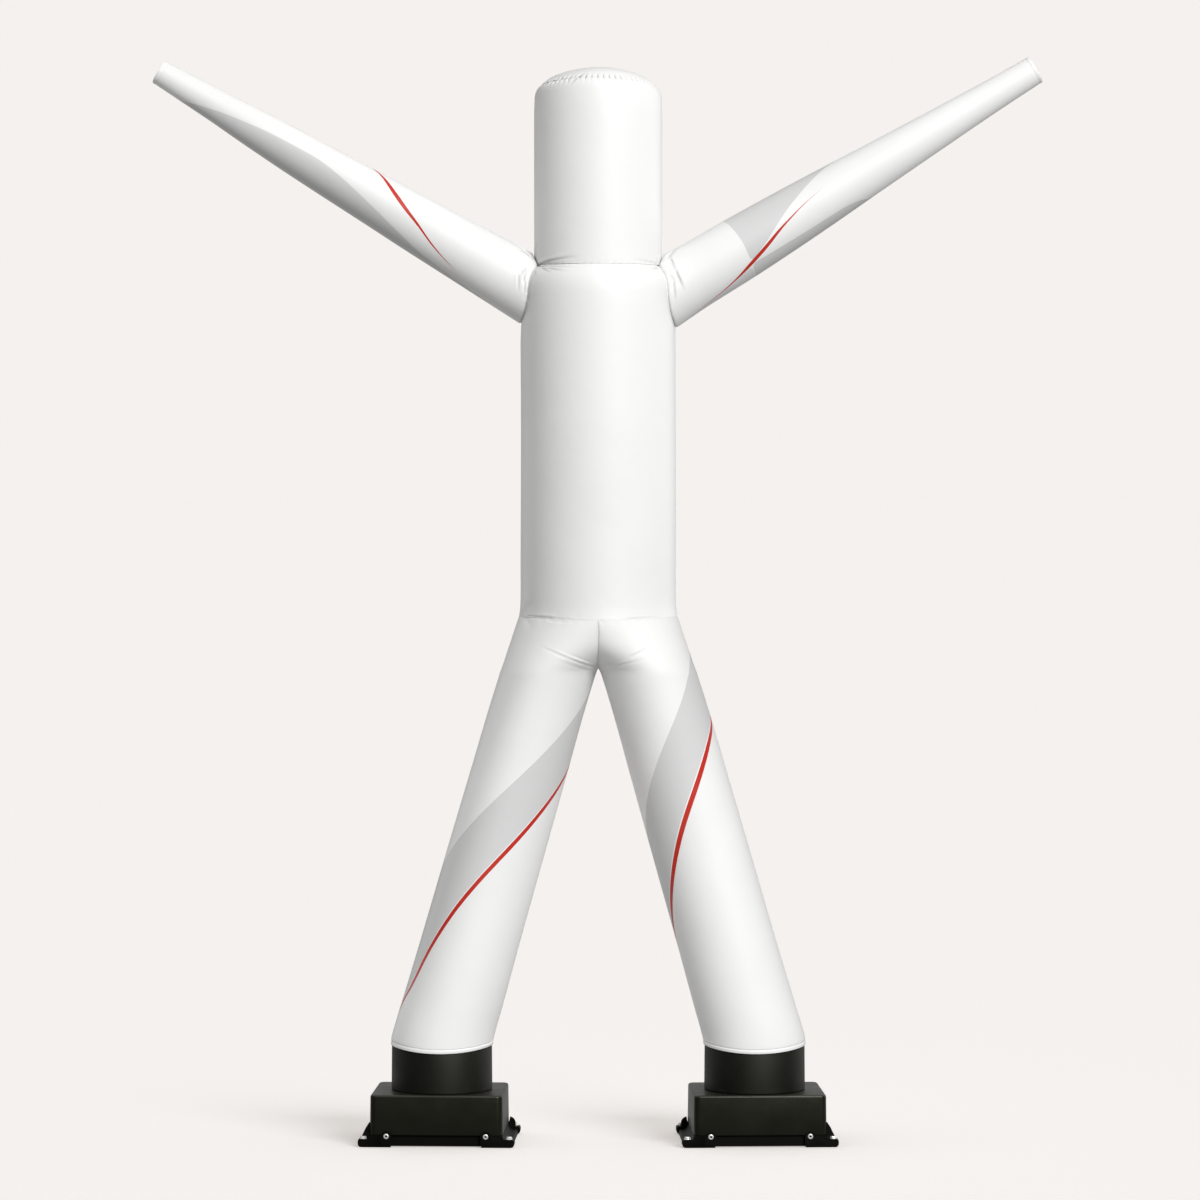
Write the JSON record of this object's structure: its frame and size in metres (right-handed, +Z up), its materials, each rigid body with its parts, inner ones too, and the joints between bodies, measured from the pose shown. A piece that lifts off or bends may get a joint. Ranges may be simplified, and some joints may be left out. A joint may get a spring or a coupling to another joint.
{
  "type": "inflatable air dancer on two blowers",
  "caption": "Tall inflatable air dancer: head and torso tube, raised tapered arms with open cuffs, and spread legs whose hems fit over the outlet rings of black box blowers.",
  "frame": {"origin": "on the floor, midway between the two blowers, in the middle of the part's plan", "axes": "+Z up, +X towards the part's right arm as seen from the front, -Y towards the front"},
  "size_m": [4.0794, 0.728, 4.9774],
  "materials": {
    "cloth": "white coated polyester with a satin sheen",
    "cloth_grey": "pale grey printed band on the same cloth",
    "cloth_red": "thin red printed stripe on the same cloth",
    "thread": "white sewing thread",
    "black_plastic": "fine-grained moulded black",
    "black_ring": "satin black",
    "plated_steel": "zinc plated"
  },
  "bodies": {
    "root": {"head_cap": "cloth", "head_tube": "cloth", "torso": "cloth", "arm_left": "cloth", "arm_right": "cloth", "leg_left": "cloth", "leg_right": "cloth", "blower_left_ring": "black_ring", "blower_left_housing": "black_plastic", "blower_left_base": "black_plastic", "blower_left_bolt_outer_front": "plated_steel", "blower_left_bolt_outer_back": "plated_steel", "blower_left_bolt_inner_front": "plated_steel", "blower_left_bolt_inner_back": "plated_steel", "blower_left_screw_outer_front": "plated_steel", "blower_left_screw_outer_back": "plated_steel", "blower_left_screw_inner_front": "plated_steel", "blower_left_screw_inner_back": "plated_steel", "blower_right_ring": "black_ring", "blower_right_housing": "black_plastic", "blower_right_base": "black_plastic", "blower_right_bolt_outer_front": "plated_steel", "blower_right_bolt_outer_back": "plated_steel", "blower_right_bolt_inner_front": "plated_steel", "blower_right_bolt_inner_back": "plated_steel", "blower_right_screw_outer_front": "plated_steel", "blower_right_screw_outer_back": "plated_steel", "blower_right_screw_inner_front": "plated_steel", "blower_right_screw_inner_back": "plated_steel"}
  },
  "joints": []
}
